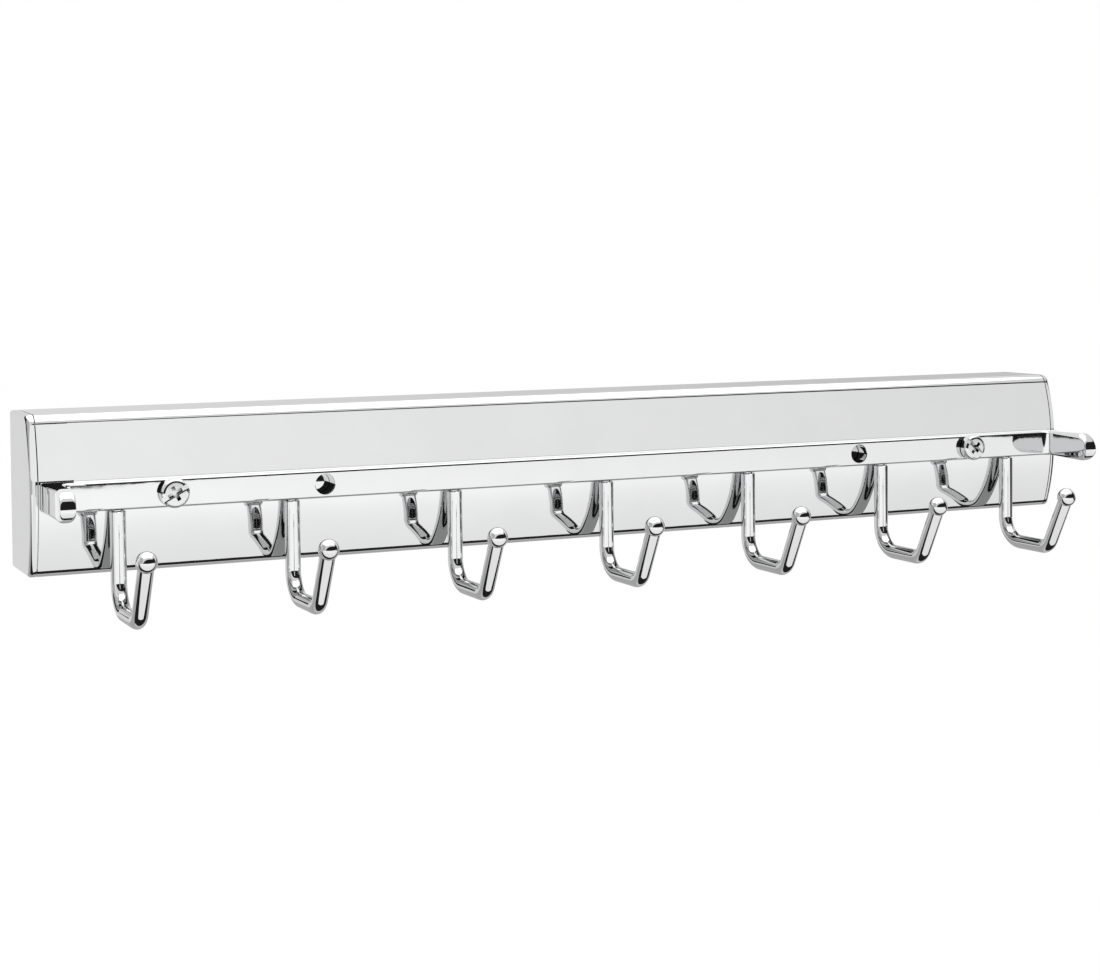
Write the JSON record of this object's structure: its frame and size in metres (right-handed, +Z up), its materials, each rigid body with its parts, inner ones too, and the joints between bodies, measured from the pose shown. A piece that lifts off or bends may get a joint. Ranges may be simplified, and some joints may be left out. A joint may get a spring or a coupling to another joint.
{
  "type": "pull-out belt rack",
  "caption": "Chromed pull-out belt rack: a bulged cover with a rail of ball-ended hooks and finger arms, sliding out of a closet on a hidden ball-bearing slide.",
  "frame": {"origin": "middle of the flat back of the slide's fixed member, on the closet panel", "axes": "+X along the rack, away from the end that is pulled; +Y into the panel; +Z up"},
  "size_m": [0.352, 0.0662, 0.0573],
  "materials": {
    "cover_chrome": "mirror chrome plate",
    "rail_chrome": "mirror chrome plate",
    "hook_chrome": "mirror chrome plate",
    "screw_chrome": "chrome plate, worn slightly at the recess",
    "zinc_fastener": "bright zinc plate",
    "slide_steel": "zinc-plated rolled steel",
    "cage_steel": "greased pressed steel with bright balls",
    "bumper_rubber": "matt moulded rubber"
  },
  "bodies": {
    "slide_outer": {"slide_outer_member": "slide_steel", "outer_bumper": "bumper_rubber"},
    "outer_cage": {"outer_ball_cage": "cage_steel"},
    "slide_middle": {"slide_middle_member": "slide_steel", "middle_bumper": "bumper_rubber"},
    "inner_cage": {"inner_ball_cage": "cage_steel"},
    "rack": {"slide_inner_member": "slide_steel", "cover": "cover_chrome", "end_cap_left": "cover_chrome", "end_cap_right": "cover_chrome", "hook_rail": "rail_chrome", "hook_1": "hook_chrome", "hook_2": "hook_chrome", "hook_3": "hook_chrome", "hook_4": "hook_chrome", "hook_5": "hook_chrome", "hook_6": "hook_chrome", "hook_7": "hook_chrome", "rail_screw_left": "screw_chrome", "rail_screw_right": "screw_chrome", "washer_left": "zinc_fastener", "washer_right": "zinc_fastener", "nut_left": "zinc_fastener", "nut_right": "zinc_fastener"}
  },
  "joints": [
    {"name": "middle_slide", "type": "slide", "parent": "slide_outer", "child": "slide_middle", "axis": [-1, 0, 0], "range_m": [0, 0.16]},
    {"name": "rack_slide", "type": "slide", "parent": "slide_middle", "child": "rack", "axis": [-1, 0, 0], "range_m": [0, 0.16]},
    {"name": "outer_cage_roll", "type": "slide", "parent": "slide_outer", "child": "outer_cage", "axis": [-1, 0, 0], "range_m": [0, 0.08]},
    {"name": "inner_cage_roll", "type": "slide", "parent": "slide_middle", "child": "inner_cage", "axis": [-1, 0, 0], "range_m": [0, 0.08]}
  ],
  "couplings": [
    {"joint": "outer_cage_roll", "follows": "middle_slide", "ratio": 0.5},
    {"joint": "inner_cage_roll", "follows": "rack_slide", "ratio": 0.5}
  ]
}
